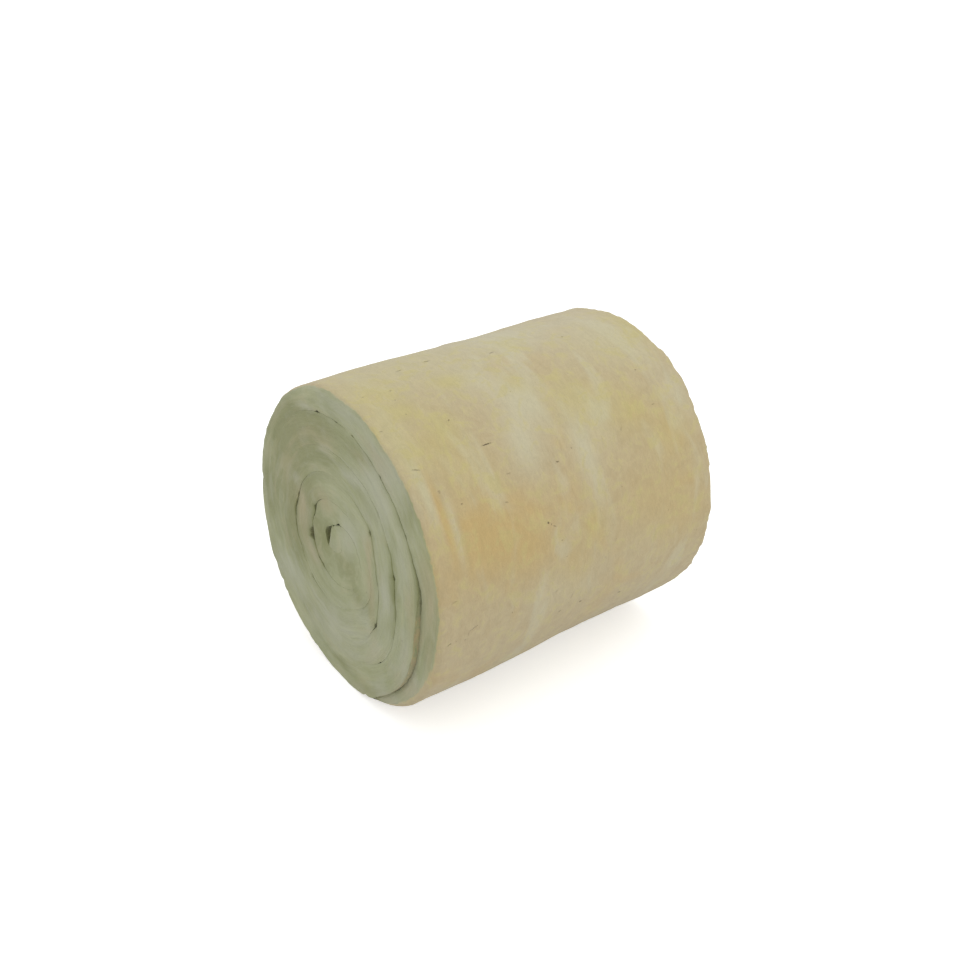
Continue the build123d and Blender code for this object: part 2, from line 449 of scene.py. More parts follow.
def half_gap(turn, depth, far_side, outwards):
    """The gap on one side of the seam, at a depth below the end's surface."""
    closing = soft_patch(depth / SEAM_DEPTH)
    gap = SHUT_GAP + OPEN_GAP * openness_at(turn, far_side) ** GAP_GROWTH * closing
    for turn_at, reach_out, reach_in, length in PITS:
        radius = np.maximum(seam_radius(turn_at) * RADIUS, SMALL_RADIUS)
        spread = math.degrees(length * MM / radius)
        shape = soft_patch((turn - turn_at) / spread, depth / PIT_DEPTH)
        reach = reach_out if outwards else reach_in
        gap = gap + np.where(far_side, FAR_PITS, 1.0) * reach * shape
    return gap * MM


def edge_round(turn, far_side):
    """How far the cut edge is worn round at the seam."""
    return (SHUT_ROUND + OPEN_ROUND * openness_at(turn, far_side) ** ROUND_GROWTH) * MM


def rim_round(turn, outer_turn, far_side):
    """How far the outer edge is worn round: as at the seam, then as a bare rim."""
    seam_round = edge_round(outer_turn, far_side)
    crisp = between(turn, CRISP_IN, CRISP_OUT)
    rim = (RIM_ROUND + waves(turn, RIM_WAVES)) * (1 - CRISPNESS * crisp) * MM
    rim = np.where(far_side, FAR_RIM_SHARE, NEAR_RIM_SHARE) * rim
    bare = smooth_step(turn, LAST_TURN, LAST_TURN + RIM_BLEND)
    return seam_round + (rim - seam_round) * bare


def edges_of_blanket(turn):
    """Where the near and far cut edges lie along the roll."""
    near = -HALF_LENGTH + waves(turn, NEAR_DRIFT) * MM
    return near, HALF_LENGTH + (waves(turn, FAR_DRIFT) - FAR_SHORT) * MM


def turn_outside(turn):
    """The turn of the seam that the outer face lies against."""
    blend_end = START_TURN + START_BLEND
    slope = (360 + blend_end - START_EDGE_TURN) / START_BLEND
    blended = START_EDGE_TURN + (turn - START_TURN) * slope
    return np.minimum(np.where(turn < blend_end, blended, turn + 360), TAIL_TURN)


def turn_inside(turn):
    """The turn of the seam that the inner face lies against, folded at the start."""
    slope = (FOLD_END - START_CONTACT) / (FOLD_END - START_TURN)
    return np.where(turn < FOLD_END, START_CONTACT + (turn - START_TURN) * slope, turn)


def turns_of_columns(first, last):
    """Turns at which the blanket is cut into columns, about one step apart."""
    turns = [first]
    while turns[-1] < last:
        middle = max(float(seam_radius(turns[-1] + 180)) * RADIUS, SMALL_RADIUS)
        turns.append(turns[-1] + min(math.degrees(COLUMN_STEP / middle), WIDEST_STEP))
    turns = np.array(turns)
    return first + (turns - first) * (last - first) / (turns[-1] - first)


def loop_points(skin_rows):
    """The points of one loop round the blanket's section: the near cut edge from the
    outer face in, the inner face, the far cut edge, and the outer face back. Each is
    (kind, side, value)."""
    corners = range(len(CORNER))
    half = [("corner", "outer", corner) for corner in corners]
    half += [("cut", "", share) for share in reversed(INSIDE)]
    half += [("corner", "inner", corner) for corner in reversed(corners)]
    half += [("inner", "", depth) for depth in DEPTHS]
    points = [(kind, "near " + side, value) for kind, side, value in half]
    points += [(kind, "far " + side, value) for kind, side, value in reversed(half)]
    if skin_rows:
        shares = [1 - (row + 1) / (skin_rows + 1) for row in range(skin_rows)]
        return points + [("skin", "", share) for share in shares]
    points += [("outer", "far", depth) for depth in DEPTHS]
    return points + [("outer", "near", depth) for depth in reversed(DEPTHS)]


class Loops:
    """The blanket's section at each of some turns, as a loop of points. Arrays have a
    row for each turn and a column for each point of the loop."""

    def __init__(self, turns, skin_rows):
        kinds, sides, values = zip(*loop_points(skin_rows))
        side = np.array(sides)[None, :]
        self.kind = np.array(kinds)[None, :]
        self.value = np.array(values, float)[None, :]
        self.far_side = np.char.startswith(side, "far")
        self.at_outer = np.char.endswith(side, "outer") | np.isin(self.kind, ("outer", "skin"))
        self.on_cut = self.kind == "cut"
        self.on_corner = self.kind == "corner"
        self.on_face = np.isin(self.kind, ("inner", "outer"))
        self.arc = CORNER[np.clip(self.value, 0, len(CORNER) - 1).astype(int)]
        self.turn = turns[:, None]
        self.outer_turn = turn_outside(self.turn)
        self.bare = smooth_step(self.turn, *BARE_BLEND)
        self.near, self.far = edges_of_blanket(self.turn)
        self.drawn_back = set_back(self.turn) * MM
        self.find_rounding()
        self.find_places()
        self.find_faces()
        self.find_heights()

    def find_rounding(self):
        """How far the edges are worn round, up to a share of the thickness there."""
        end = np.where(self.far_side, 1.0, 0.0)
        ease = 1 - smooth_step(self.turn, TAIL_TURN - TAIL_TAPER, TAIL_TURN)
        self.tail_room = TAIL_THICKNESS + TAIL_GROWTH * ease
        thickness = seam_at(self.outer_turn, end) - seam_at(self.turn, 0.0)
        bare = outline_at(self.turn, end) - seam_at(self.turn, end)
        bare = np.maximum(bare, self.tail_room)
        thickness = thickness + (bare - thickness) * self.bare
        limit = ROUND_LIMIT * np.maximum(thickness, 0)
        self.round_in = np.minimum(edge_round(self.turn, self.far_side), limit)
        round_out = rim_round(self.turn, self.outer_turn, self.far_side)
        self.round_out = np.minimum(round_out, limit)

    def find_places(self):
        """Where each point lies along the roll, and how deep below the ends."""
        self.corner_round = np.where(self.at_outer, self.round_out, self.round_in)
        across = np.where(self.on_cut, self.value, np.where(self.at_outer, 1.0, 0.0))
        near_end = self.near + self.drawn_back * (1 - (1 - OUTER_SET_BACK) * across)
        end = np.where(self.far_side, self.far, near_end)
        self.inward = np.where(self.far_side, -1, 1)
        rounded = end + self.inward * self.corner_round * (1 - np.sin(self.arc))
        under = end + self.inward * (self.value + self.corner_round)
        skin_near = self.near + OUTER_SET_BACK * self.drawn_back
        skin_near = skin_near + rim_round(self.turn, self.outer_turn, False)
        skin_far = self.far - rim_round(self.turn, self.outer_turn, True)
        skin = skin_near + (skin_far - skin_near) * self.value
        kinds = [self.on_cut, self.on_face, self.kind == "skin"]
        self.place = np.select(kinds, [end, under, skin], rounded)
        self.depth = np.maximum(np.minimum(self.place - self.near, self.far - self.place), 0)
        self.along = np.clip((self.place + HALF_LENGTH) / (2 * HALF_LENGTH), 0, 1)

    def find_faces(self):
        """The inner face's points, and the way and distance from there to the outer."""
        inner_turn = turn_inside(self.turn)
        self.inner_face = on_end(inner_turn, seam_at(inner_turn, self.along))
        reach = seam_at(self.outer_turn, self.along)
        room = seam_at(self.turn, self.along) + self.tail_room
        bare_reach = np.maximum(outline_at(self.turn, self.along), room)
        reach = reach + (bare_reach - reach) * self.bare
        face_turn = self.outer_turn + (self.turn + 360 - self.outer_turn) * self.bare
        across = on_end(face_turn, reach) - self.inner_face
        self.thickness = np.linalg.norm(across, axis=-1)
        self.across = across / self.thickness[..., None]

    def find_heights(self):
        """How far across the blanket each point lies, and where that is on the end."""
        lowest = half_gap(self.turn, self.depth, self.far_side, True)
        gap_out = half_gap(self.outer_turn, self.depth, self.far_side, False)
        highest = self.thickness - gap_out * (1 - self.bare)
        step = self.corner_round * (1 - np.cos(self.arc))
        height = np.where(self.at_outer, highest - step, lowest + step)
        self.cut_width = highest - self.round_out - lowest - self.round_in
        on_cut = lowest + self.round_in + self.cut_width * self.value
        self.height = np.where(self.on_cut, on_cut, height)
        self.spot = self.inner_face + self.across * self.height[..., None]
        opened = seam_openness(self.turn) + seam_openness(self.outer_turn)
        crown = MM * (1 - (2 * self.value - 1) ** 2) * (SHUT_CROWN + OPEN_CROWN * opened)
        self.place = np.where(self.on_cut, self.place - self.inward * crown, self.place)

    def hidden_cut_share(self):
        """How far each point is cut edge and not felt, inside the winding. Felt shows on
        the strip of the outer face beside the drawn-back turn, and lies deep down."""
        strip = smooth_step(self.outer_turn, *STRIP_IN)
        strip = np.where(self.at_outer & ~self.far_side, strip, 0.0)
        strip_cut = np.where(self.on_corner, 1 - STRIP_FELT * np.cos(self.arc), STRIP_FELT)
        share = 1 + (strip_cut - 1) * strip
        share = np.where(self.on_face & (self.value > FELT_DEPTH), 0.0, share)
        return np.where(self.kind == "skin", 0.0, share)

    def cut_share(self):
        """The same everywhere. At the bare rim the cut edge fades into felt over the
        rounding, and the felt wraps further over towards the free end."""
        rim_arc = self.round_out * np.pi / 2
        on_rim = np.where(self.on_corner, self.round_out * self.arc, 0.0)
        from_rim = np.where(self.on_cut, rim_arc + self.cut_width * (1 - self.value), on_rim)
        wrapped = smooth_step(self.turn, *WRAP_IN)
        wrapped = wrapped * (1 - WRAP_LOSS * smooth_step(self.turn, *WRAP_OUT))
        wrapped = np.where(self.far_side, 0.0, wrapped)
        fade_start = rim_arc * (0.15 + 0.5 * wrapped)
        fade_end = rim_arc * (0.85 + 0.15 * wrapped) + WRAP_WIDTH * wrapped
        bare = smooth_step(from_rim, fade_start, fade_end)
        bare = np.where(self.at_outer | self.on_cut, bare, 1.0)
        hidden = self.hidden_cut_share()
        return hidden + (bare - hidden) * self.bare

    def seam_edge_shade(self):
        """How much painted shade the cut edge gets beside an open seam."""
        open_in = np.minimum(openness_at(self.turn, self.far_side), 1.0)
        open_out = np.minimum(openness_at(self.outer_turn, self.far_side), 1.0)
        open_out = open_out * (1 - self.bare)
        inmost = self.on_cut & (self.value == INSIDE[0])
        outmost = self.on_cut & (self.value == INSIDE[-1])
        beside = self.on_corner + EDGE_SHADE_SPREAD * (inmost | outmost)
        return np.where(self.at_outer | outmost, open_out, open_in) * beside

    def shade(self):
        """How dark each point lies in a seam, by its depth below the lower of the two
        turns beside it: painted shade, for the shade down in the seam."""
        beside = np.where(self.at_outer, self.outer_turn, self.turn - 360)
        beside_near, beside_far = edges_of_blanket(beside)
        beside_set_back = np.where(self.at_outer, set_back(self.outer_turn), 0.0)
        beside_near = beside_near + beside_set_back * MM
        own_near = self.near + np.where(self.at_outer, 0.0, self.drawn_back)
        near_drop = self.place - np.maximum(own_near, beside_near)
        far_drop = np.minimum(self.far, beside_far) - self.place
        drop = np.where(self.far_side, far_drop, near_drop)
        shade = np.where(self.on_cut, 0.0, smooth_step(drop, *SHADE_DEPTHS))
        return np.where(self.at_outer, shade * (1 - self.bare), shade)

    def steps(self):
        """The length of blanket from each turn to the next, along its middle."""
        turn = self.turn[:, 0]
        return np.radians(np.gradient(turn)) * (seam_radius(turn) + HALF_THICK) * RADIUS

    def marks(self):
        """Every point's place, and what the relief and the material need to know."""
        found = {
            "place": self.place,
            "right": self.spot[..., 0],
            "up": self.spot[..., 1],
            "height": self.height,
            "turn": self.turn,
            "cut": self.cut_share(),
            # Painted shade down in the seams
            "deep": self.shade(),
            # Painted shade on cut edges beside open seams
            "seam_edge_shade": self.seam_edge_shade(),
            "skin": (self.at_outer & (self.turn >= SKIN_TURN)) * self.bare,
        }
        shape = self.height.shape
        return {key: np.broadcast_to(value, shape) for key, value in found.items()}


def start_cap(first):
    """Loops that round off the blanket's start, tip first, from its first loop."""
    right = first["right"][0]
    up = first["up"][0]
    centre = np.array([right.mean(), up.mean()])
    inner = np.array([right[INNER_POINTS].mean(), up[INNER_POINTS].mean()])
    across = (centre - inner) / np.linalg.norm(centre - inner)
    outward = np.array([-across[1], across[0]])
    if outward[0] > 0:
        outward = -outward
    offset = (right - centre[0]) * across[0] + (up - centre[1]) * across[1]
    half = np.abs(offset).max()
    loops = []
    for angle in np.radians(CAP_ANGLES):
        out = CAP_DEPTH * np.sin(angle)
        pull = CAP_DEPTH * (1 - np.cos(angle))
        narrower = -offset * pull / half
        moved = {key: value[:1] for key, value in first.items()}
        moved["right"] = moved["right"] + across[0] * narrower + outward[0] * out
        moved["up"] = moved["up"] + across[1] * narrower + outward[1] * out
        moved["place"] = moved["place"] * (1 - CAP_PULL * pull / HALF_LENGTH)
        loops.append(moved)
    return loops


def bridge(first, second):
    """Triangles between two rows of points that start and end side by side."""
    faces = []
    i = 0
    j = 0
    while i < len(first) - 1 or j < len(second) - 1:
        share_i = (i + 1) / (len(first) - 1) if i < len(first) - 1 else 2
        share_j = (j + 1) / (len(second) - 1) if j < len(second) - 1 else 2
        if share_i <= share_j:
            faces.append((first[i], second[j], first[i + 1]))
            i += 1
        else:
            faces.append((first[i], second[j], second[j + 1]))
            j += 1
    return faces


def turned_over(faces):
    return [tuple(reversed(face)) for face in faces]


def faces_between(one, two):
    """Faces from one column's loop to the next one's. Loops of two lengths differ in
    their outer faces only, and triangles join those."""
    if len(one) == len(two):
        corners = [one, np.roll(one, -1), np.roll(two, -1), two]
        return np.stack(corners, axis=-1).tolist()
    alike = len(loop_points(0)) - 2 * len(DEPTHS)
    faces = [(one[k], one[k + 1], two[k + 1], two[k]) for k in range(alike - 1)]
    row_one = [*one[alike - 1:], one[0]]
    row_two = [*two[alike - 1:], two[0]]
    return faces + turned_over(bridge(row_one, row_two))


def closing_faces(loop):
    """Faces that close the blanket at its free edge or, turned over, at its start."""
    inner_end = EDGE_POINTS + 2 * len(DEPTHS)
    far_end = inner_end + EDGE_POINTS
    inner_row = loop[EDGE_POINTS - 1:inner_end + 1]
    outer_row = [loop[0], *loop[far_end - 1:][::-1]]
    edges = [tuple(loop[:EDGE_POINTS]), tuple(loop[inner_end:far_end])]
    return edges + bridge(inner_row, outer_row)


def blanket_mesh():
    """The whole blanket as one closed mesh: what is known of each point, and faces."""
    inner = Loops(turns_of_columns(START_TURN, SKIN_TURN), 0)
    outer = Loops(turns_of_columns(SKIN_TURN + 1, TAIL_TURN), SKIN_ROWS)
    first = inner.marks()
    caps = start_cap(first)
    blocks = [*caps, first, outer.marks()]
    data = {key: np.concatenate([block[key].reshape(-1) for block in blocks]) for key in first}
    shapes = [block["place"].shape for block in blocks]
    counts = [count for rows, count in shapes for row in range(rows)]
    columns = np.split(np.arange(sum(counts)), np.cumsum(counts)[:-1])

    # Length along the blanket, for the material
    steps = np.concatenate([np.zeros(len(caps)), inner.steps(), outer.steps()])
    data["length"] = np.repeat(np.cumsum(steps), counts)

    faces = []
    for one, two in zip(columns, columns[1:]):
        faces += faces_between(one, two)
    faces += turned_over(closing_faces(columns[0]))
    faces += closing_faces(columns[-1])
    return data, [tuple(int(point) for point in face) for face in faces]


def angle_round(data):
    return np.degrees(np.arctan2(data["up"], data["right"]))


def turned_from(middle, angle):
    """How far round the roll an angle lies from a middle one, from -180 to 180."""
    return (angle - middle + 180) % 360 - 180


def outer_relief(data, spots):
    """The outer face's relief in millimetres: broad hollows, small lumps, roughness that
    grows at the rims, creases and notches."""
    place = data["place"]
    angle = angle_round(data)
    rim = soft_patch((HALF_LENGTH - np.abs(place)) / ROUGH_RIM)
    relief = lumps(spots, OUTER_RELIEF) + (1 + 2 * rim) * lumps(spots, FINE_RELIEF)
    relief += lumps(spots * ALONG_WINDING, WINDING_RELIEF)
    for middle, spot, wide, long, height in LUMPS:
        sideways = (place - spot * MM) / (long * MM)
        relief += height * soft_patch(turned_from(middle, angle) / wide, sideways)
    relief += waves(angle, FAR_RIM_WAVES) * soft_patch((HALF_LENGTH - place) / FAR_RIM_WIDTH)
    for middle, wide, depth in RIM_NOTCHES:
        away = (place + HALF_LENGTH) / NOTCH_REACH
        relief -= depth * soft_patch(turned_from(middle, angle) / wide, away)
    return relief


def shape_blanket(data):
    """Soft relief on the blanket, then its points in the frame."""
    right = data["right"]
    up = data["up"]
    spots = np.stack([data["place"], right, up], axis=-1)
    radius_change = outer_relief(data, spots) * MM * data["skin"]

    # The ends are the same wool seen at its cut, a little uneven
    end_relief = lumps(spots, END_RELIEF) * MM * data["cut"]
    place = data["place"] + np.sign(data["place"]) * end_relief

    # The free edge is ragged
    swing = np.radians(waves(place, RAGGED_EDGE))
    swing = swing * smooth_step(data["turn"], TAIL_TURN - RAGGED_TURNS, TAIL_TURN)
    scale = 1 + radius_change / np.maximum(np.hypot(right, up), 1 * MM)
    moved_right = (right * np.cos(swing) + up * np.sin(swing)) * scale
    moved_up = (up * np.cos(swing) - right * np.sin(swing)) * scale
    height = np.maximum(RADIUS + moved_up, 0.0)
    return np.stack([place, -moved_right, height], axis=-1)


def patch_tones(data):
    """The patches of colour, as three shares at each point of the mesh."""
    angle = angle_round(data)
    tones = np.zeros((len(angle), 3))
    for middle, spot, wide, long, *amounts in PATCHES:
        sideways = (data["place"] - spot * MM) / (long * MM)
        share = soft_patch(turned_from(middle, angle) / wide, sideways)
        tones += (share * (1 - data["cut"]))[:, None] * (np.array(amounts) / 100)
    for row in END_PATCHES:
        right, up, wide, high, *amounts = np.array(row) / 100
        sideways = (data["right"] / RADIUS - right) / wide
        share = soft_patch(sideways, (data["up"] / RADIUS - up) / high)
        tones += (share * data["cut"])[:, None] * amounts
    return np.clip(tones, 0, MOST_TONE)


def nick_places(data):
    """For each point of the outer face, where it lies from the nearest nick, in half
    lengths and half widths, and how dark that nick is. Away from nicks that is nothing."""
    angle = angle_round(data)
    best = np.full(len(angle), np.inf)
    found = np.zeros((len(angle), 3))
    for middle, spot, length, width, lean, depth in NICKS:
        around = np.radians(turned_from(middle, angle)) * RADIUS / MM
        sideways = data["place"] / MM - spot
        lean = math.radians(lean)
        lengthways = sideways * math.cos(lean) + around * math.sin(lean)
        across = around * math.cos(lean) - sideways * math.sin(lean)
        away = np.hypot(lengthways, across)
        near = 1 - smooth_step(away - length, *NICK_FADE)
        nearest = (away < best) & (data["skin"] > 0.5)
        best = np.where(nearest, away, best)
        row = [lengthways / length, across / width, depth / 100 * near]
        found = np.where(nearest[:, None], np.stack(row, axis=-1), found)
    return found


def broad_normals(mesh):
    """Normals that follow the larger of the faces at each point, so that a seam pressed
    shut doesn't shade the wool beside it."""
    sizes = np.empty(len(mesh.polygons), np.int32)
    areas = np.empty(len(mesh.polygons))
    facing = np.empty(len(mesh.polygons) * 3)
    corners = np.empty(len(mesh.loops), np.int32)
    mesh.polygons.foreach_get("loop_total", sizes)
    mesh.polygons.foreach_get("area", areas)
    mesh.polygons.foreach_get("normal", facing)
    mesh.loops.foreach_get("vertex_index", corners)
    weighted = facing.reshape(-1, 3) * areas[:, None]
    total = np.zeros((len(mesh.vertices), 3))
    np.add.at(total, corners, np.repeat(weighted, sizes, axis=0))
    return total / np.linalg.norm(total, axis=1, keepdims=True)


def add_mark(mesh, name, values):
    """A number or a vector at each point of the mesh, for the material to read."""
    kind, field = ("FLOAT", "value") if values.ndim == 1 else ("FLOAT_VECTOR", "vector")
    attribute = mesh.attributes.new(name, kind, "POINT")
    attribute.data.foreach_set(field, values.astype(np.float32).reshape(-1))


def placed(name, data):
    """A new object in the scene."""
    made = bpy.data.objects.new(name, data)
    bpy.context.scene.collection.objects.link(made)
    return made


def make_blanket():
    data, faces = blanket_mesh()
    points = shape_blanket(data)
    mesh = bpy.data.meshes.new("mineral_wool_blanket")
    mesh.from_pydata(points.tolist(), [], faces)
    outward = bmesh.new()
    outward.from_mesh(mesh)
    bmesh.ops.recalc_face_normals(outward, faces=outward.faces)
    outward.to_mesh(mesh)
    outward.free()
    mesh.shade_smooth()
    mesh.normals_split_custom_set_from_vertices(broad_normals(mesh))

    for name in ("cut", "deep", "seam_edge_shade"):
        add_mark(mesh, name, data[name])
    lay = np.stack([data["length"], data["height"], data["place"]], axis=-1)
    add_mark(mesh, "lay", lay)
    add_mark(mesh, "nick_map", nick_places(data))
    add_mark(mesh, "tone", patch_tones(data))
    return placed("mineral_wool_blanket", mesh)


def colour(red, green, blue):
    """A colour written as it looks on a screen, from 0 to 255."""
    shares = [c / 255 for c in (red, green, blue)]
    linear = [c / 12.92 if c < 0.04045 else ((c + 0.055) / 1.055) ** 2.4 for c in shares]
    return (*linear, 1.0)


class Shader:
    """Writes the nodes of a material or the world in order."""

    def __init__(self, owner):
        owner.use_nodes = True
        self.tree = owner.node_tree
        self.tree.nodes.clear()

    def add(self, kind, inputs=(), **settings):
        """A node. Each of its inputs is another node's output or a plain value."""
        made = self.tree.nodes.new("ShaderNode" + kind)
        for name, value in settings.items():
            setattr(made, name, value)
        for key, value in dict(inputs).items():
            if isinstance(value, bpy.types.NodeSocket):
                self.tree.links.new(value, made.inputs[key])
            else:
                made.inputs[key].default_value = value
        return made

    def node(self, kind, inputs=(), output=0, **settings):
        """The output of a new node."""
        return self.add(kind, inputs, **settings).outputs[output]

    def attribute(self, name, output):
        return self.node("Attribute", output=output, attribute_name=name)

    def math(self, operation, one, two=0, clamp=False):
        inputs = {0: one, 1: two}
        return self.node("Math", inputs, operation=operation, use_clamp=clamp)

    def vector(self, operation, one, two):
        return self.node("VectorMath", {0: one, 1: two}, operation=operation)

    def noise(self, coordinates, scale, detail=3, roughness=0.5, warp=0):
        inputs = {
            "Vector": coordinates, "Scale": scale, "Detail": detail,
            "Roughness": roughness, "Distortion": warp,
        }
        return self.node("TexNoise", inputs)

    def drawn_noise(self, coordinates, stretch, detail, roughness, warp):
        """Noise with its own scale each way."""
        scaled = self.vector("MULTIPLY", coordinates, stretch)
        return self.noise(scaled, 1, detail, roughness, warp)

    def spread(self, value, low_end, high_end, to_low=0, to_high=1):
        inputs = {0: value, 1: low_end, 2: high_end, 3: to_low, 4: to_high}
        return self.node("MapRange", inputs, interpolation_type="SMOOTHSTEP")

    def swing(self, noise, amount):
        """A noise as a number from minus to plus an amount."""
        return self.spread(noise, 0.3, 0.7, -amount, amount)

    def blend(self, share, one, two):
        """Two numbers mixed."""
        return self.node("Mix", {0: share, 2: one, 3: two}, data_type="FLOAT")

    def mix(self, share, one, two):
        """Two colours mixed."""
        inputs = {0: share, 6: one, 7: two}
        return self.node("Mix", inputs, output=2, data_type="RGBA")

    def tint(self, base, share, strength, shade):
        """A base colour, tinted where a share is high."""
        return self.mix(self.math("MULTIPLY", share, strength), base, colour(*shade))

    def toned(self, base, patches, patterns, tones):
        """A base colour, tinted by each tone where its patches or its pattern are."""
        for patch, pattern, (strength, shade) in zip(patches, patterns, tones):
            share = self.math("ADD", patch, pattern, clamp=True)
            base = self.tint(base, share, strength, shade)
        return base

    def total(self, *rows):
        """Values added up, each with its own weight."""
        parts = [self.math("MULTIPLY", value, weight) for value, weight in rows]
        added = parts[0]
        for part in parts[1:]:
            added = self.math("ADD", added, part)
        return added


def wool_patterns(s):
    """What the wool's colours and relief are made of. In lay, the blanket's own
    coordinates run along its length, through it and along the roll."""
    position = s.node("TexCoord", output="Object")
    lay = s.attribute("lay", "Vector")
    length = s.node("SeparateXYZ", {0: lay})
    return SimpleNamespace(
        position=position,
        lay=lay,
        cut=s.attribute("cut", "Fac"),
        deep=s.attribute("deep", "Fac"),
        seam_edge_shade=s.attribute("seam_edge_shade", "Fac"),
        tone=s.add("SeparateXYZ", {0: s.attribute("tone", "Vector")}).outputs,
        matted_centre=s.spread(length, 0.1, 0.75, 1, 0),
        broad=s.noise(position, 9, 2, 0.5, 0.4),
        streaks=s.drawn_noise(lay, (6, 10, 18), 3, 0.55, 0.5),
        blotch=s.noise(position, 38, 4, 0.6, 0.8),
        matted=s.drawn_noise(lay, (60, 160, 130), 4, 0.6, 0.6),
        fibre=s.drawn_noise(lay, (260, 700, 620), 3, 0.6, 1),
        fine=s.noise(position, 900, 2, 0.6),
        layers=s.drawn_noise(lay, (14, 420, 60), 4, 0.62, 0.3),
        bands=s.drawn_noise(lay, (5, 120, 20), 3, 0.5, 0.3),
        torn=s.drawn_noise(lay, (120, 420, 300), 3, 0.6, 0.8),
        smear=s.drawn_noise(lay, (9, 30, 30), 3, 0.55, 0.6),
        second_smear=s.drawn_noise(lay, (17, 46, 30), 3, 0.55, 0.6),
    )


def felt_colour(s, wool):
    """Tan, in soft blotches that are warmer, paler or yellower."""
    felt = s.mix(s.spread(wool.blotch, 0.3, 0.7), colour(*FELT_DARK), colour(*FELT_LIGHT))
    warm = s.spread(wool.broad, 0.52, 0.72, 0, 0.45)
    pale = s.spread(wool.streaks, 0.5, 0.68, 0, 0.6)
    yellow = s.spread(wool.blotch, 0.48, 0.68, 0, 0.65)
    return s.toned(felt, wool.tone, (warm, pale, yellow), FELT_TONES)


def edge_colour(s, wool):
    """Grey-green, with olive, lilac and tan smears, and painted shade beside open seams."""
    smear = s.blend(wool.matted_centre, wool.smear, wool.blotch)
    second_smear = s.blend(wool.matted_centre, wool.second_smear, wool.streaks)
    edge = s.mix(s.spread(wool.broad, 0.3, 0.7), colour(*EDGE_DARK), colour(*EDGE_LIGHT))
    olive = s.spread(smear, 0.35, 0.7, -0.2, 0.35)
    lilac = s.spread(second_smear, 0.35, 0.7, -0.3, 0.3)
    tan = s.spread(smear, 0.3, 0.55, 0.25, -0.2)
    edge = s.toned(edge, wool.tone, (olive, lilac, tan), EDGE_TONES)
    # Painted shade on the cut edge beside open seams
    return s.tint(edge, wool.seam_edge_shade, 0.55, EDGE_SHADE_COLOUR)


def fleck_level(s, wool, edge_share):
    """How light each fleck is: tangled fibre on felt, thin layers on the cut edge."""
    felt_fleck = s.math("ADD", s.swing(wool.fibre, 0.04), s.swing(wool.matted, 0.035))
    layers = s.spread(wool.layers, 0.3, 0.7, -0.034, 0.03)
    edge_fleck = s.math("ADD", layers, s.swing(wool.bands, 0.034))
    edge_fleck = s.math("MULTIPLY", edge_fleck, s.math("SUBTRACT", 1, wool.matted_centre))
    edge_fleck = s.math("ADD", edge_fleck, s.swing(wool.torn, 0.028))
    fleck = s.blend(edge_share, felt_fleck, edge_fleck)
    return s.math("ADD", s.math("ADD", fleck, s.swing(wool.fine, 0.02)), 1)


def nick_darkness(s, wool):
    """How dark the nicks and specks are, with shaken outlines. A nick's dark is
    painted shade in its tear.
    """
    nick_map = s.attribute("nick_map", "Vector")
    nick_depth = s.node("SeparateXYZ", {0: nick_map}, output=2)
    flat = s.vector("MULTIPLY", nick_map, (1, 1, 0))
    shaken = {"Vector": wool.position, "Scale": 330, "Detail": 2}
    shake = s.node("TexNoise", shaken, output=1)
    shake = s.vector("SUBTRACT", shake, (0.5, 0.5, 0.5))
    shake = s.vector("MULTIPLY", shake, (0.9, 1.8, 0))
    spot = {0: s.vector("ADD", flat, shake)}
    away = s.node("VectorMath", spot, output=1, operation="LENGTH")
    nick = s.math("MULTIPLY", s.spread(away, 0.2, 1.15, 1, 0), nick_depth)
    cells = s.node("TexVoronoi", {"Vector": wool.lay, "Scale": 38, "Randomness": 1})
    rare = s.spread(s.noise(wool.lay, 30, 1), 0.5, 0.62)
    speck = s.math("MULTIPLY", s.spread(cells, 0.03, 0.07, 0.5, 0), rare)
    return s.math("MAXIMUM", nick, s.math("MULTIPLY", speck, 0.8))


def wool_height(s, wool, edge_share, dark):
    """Relief finer than the mesh."""
    felt = s.total((wool.blotch, 0.35), (wool.matted, 0.3), (wool.fibre, 0.15))
    edge = s.total((wool.layers, 0.38), (wool.torn, 0.3), (wool.bands, 0.22))
    edge = s.math("MULTIPLY", edge, s.spread(wool.matted_centre, 0, 1, 1, 0.3))
    height = s.blend(edge_share, felt, edge)
    height = s.math("SUBTRACT", height, s.math("MULTIPLY", dark, 0.6))
    return s.math("ADD", height, s.math("MULTIPLY", wool.fine, 0.06))


def wool_material():
    """Tan felt faces and grey-green cut edges, with fibre at each scale."""
    material = bpy.data.materials.new("mineral_wool")
    s = Shader(material)
    wool = wool_patterns(s)

    # The turn from cut edge to face follows the fibres, not a clean line
    wander = s.spread(wool.matted, 0.25, 0.75, -0.25, 0.25)
    edge_share = s.spread(s.math("ADD", wool.cut, wander), 0.35, 0.75)
    base = s.mix(edge_share, felt_colour(s, wool), edge_colour(s, wool))
    level = fleck_level(s, wool, edge_share)
    flecked = s.node("VectorMath", {0: base, 3: level}, operation="SCALE")
    dark = nick_darkness(s, wool)
    # Painted shade in the nicks, and the dark specks
    nicked = s.tint(flecked, dark, 0.85, NICK_SHADE)
    # Painted shade down in the seams, weaker towards the middle of the winding
    seam_strength = s.spread(wool.matted_centre, 0.3, 1, 0.65, 0.2)
    final = s.tint(nicked, wool.deep, seam_strength, SEAM_SHADE)

    height = wool_height(s, wool, edge_share, dark)
    relief = {"Height": height, "Distance": BUMP_DISTANCE, "Strength": 1}
    surface = {
        "Base Color": final,
        "Roughness": s.spread(wool.matted, 0.2, 0.8, 0.86, 0.97),
        "Normal": s.node("Bump", relief),
        "Specular IOR Level": 0.2,
        "Sheen Weight": 0.2,
        "Sheen Roughness": 0.6,
    }
    shader = s.node("BsdfPrincipled", surface)
    s.add("OutputMaterial", {"Surface": shader})
    return material


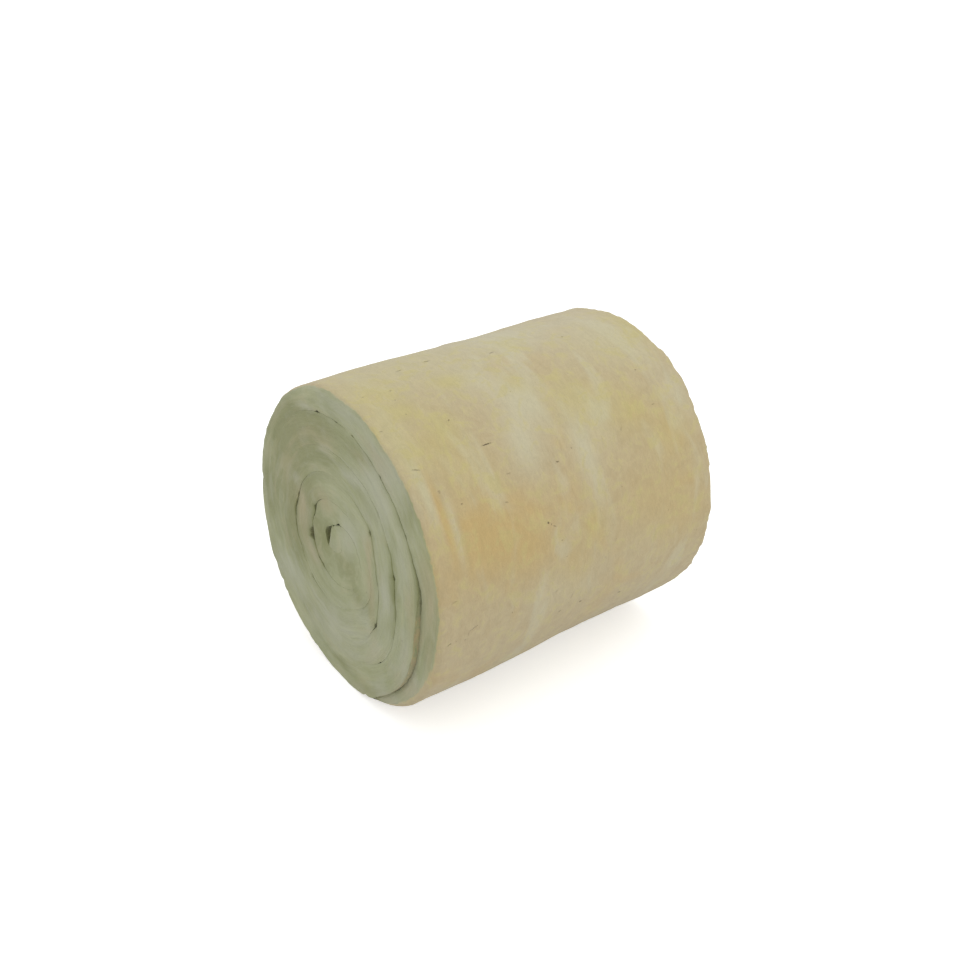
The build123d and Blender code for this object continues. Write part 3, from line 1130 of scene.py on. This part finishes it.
def make_floor():
    """A white floor that keeps a soft shadow."""
    mesh = bpy.data.meshes.new("floor")
    half = FLOOR_HALF
    corners = [(-half, -half, 0), (half, -half, 0), (half, half, 0), (-half, half, 0)]
    mesh.from_pydata(corners, [], [(0, 1, 2, 3)])
    material = bpy.data.materials.new("white_floor")
    s = Shader(material)
    diffuse = s.node("BsdfDiffuse", {"Color": FLOOR_COLOUR})
    seen = s.node("LightPath", output="Is Camera Ray")
    glow = s.node("Emission", {"Strength": s.math("MULTIPLY", seen, FLOOR_GLOW)})
    both = s.node("AddShader", {0: diffuse, 1: glow})
    s.add("OutputMaterial", {"Surface": both})
    mesh.materials.append(material)
    floor = placed("floor", mesh)
    floor.location.z = -FLOOR_DROP
    return floor


def make_world():
    """Soft light from all round, and plain white where the camera looks past the roll."""
    world = bpy.data.worlds.new("studio")
    bpy.context.scene.world = world
    s = Shader(world)
    seen = s.node("LightPath", output="Is Camera Ray")
    light = {"Color": WORLD_COLOUR, "Strength": WORLD_LEVEL}
    around = s.node("Background", light)
    white = s.node("Background", {"Color": (1, 1, 1, 1), "Strength": 1.0})
    chosen = s.node("MixShader", {0: seen, 1: around, 2: white})
    s.add("OutputWorld", {"Surface": chosen})


def make_lamps():
    """Large soft lamps that face the middle of the roll."""
    for name, place, size, power, tint in LAMPS:
        lamp = bpy.data.lights.new(name, "AREA")
        lamp.shape = "DISK"
        lamp.size = size
        lamp.energy = power
        lamp.color = tint
        holder = placed(name, lamp)
        holder.location = place
        aim = Vector((0, 0, RADIUS)) - holder.location
        holder.rotation_euler = aim.to_track_quat("-Z", "Y").to_euler()


def make_camera():
    """The camera of the photograph, as the roll's outline in perspective places it."""
    yaw = math.radians(CAMERA_YAW)
    pitch = math.radians(CAMERA_PITCH)
    ahead = Vector((
        math.sin(yaw) * math.cos(pitch), math.cos(yaw) * math.cos(pitch), -math.sin(pitch)
    ))
    right = Vector((math.cos(yaw), -math.sin(yaw), 0))
    above = right.cross(ahead)
    eye = Vector((0, 0, RADIUS)) - ahead * (CAMERA_DISTANCE * RADIUS)
    eye = eye - right * (CAMERA_LEFT * RADIUS) + above * (CAMERA_RISE * RADIUS)
    lens = bpy.data.cameras.new("camera")
    lens.lens = SENSOR_WIDTH * FOCAL_PIXELS / PHOTO_WIDTH
    lens.sensor_width = SENSOR_WIDTH
    lens.clip_end = CAMERA_REACH
    holder = placed("camera", lens)
    holder.location = eye
    holder.rotation_euler = (math.pi / 2 - pitch, 0, -yaw)
    bpy.context.scene.camera = holder


make_camera()
floor = make_floor()
make_world()
make_lamps()
blanket = make_blanket()
blanket.data.materials.append(wool_material())
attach(blanket, "root")
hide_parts("wound_blanket")

bpy.context.scene.view_settings.view_transform = "Standard"
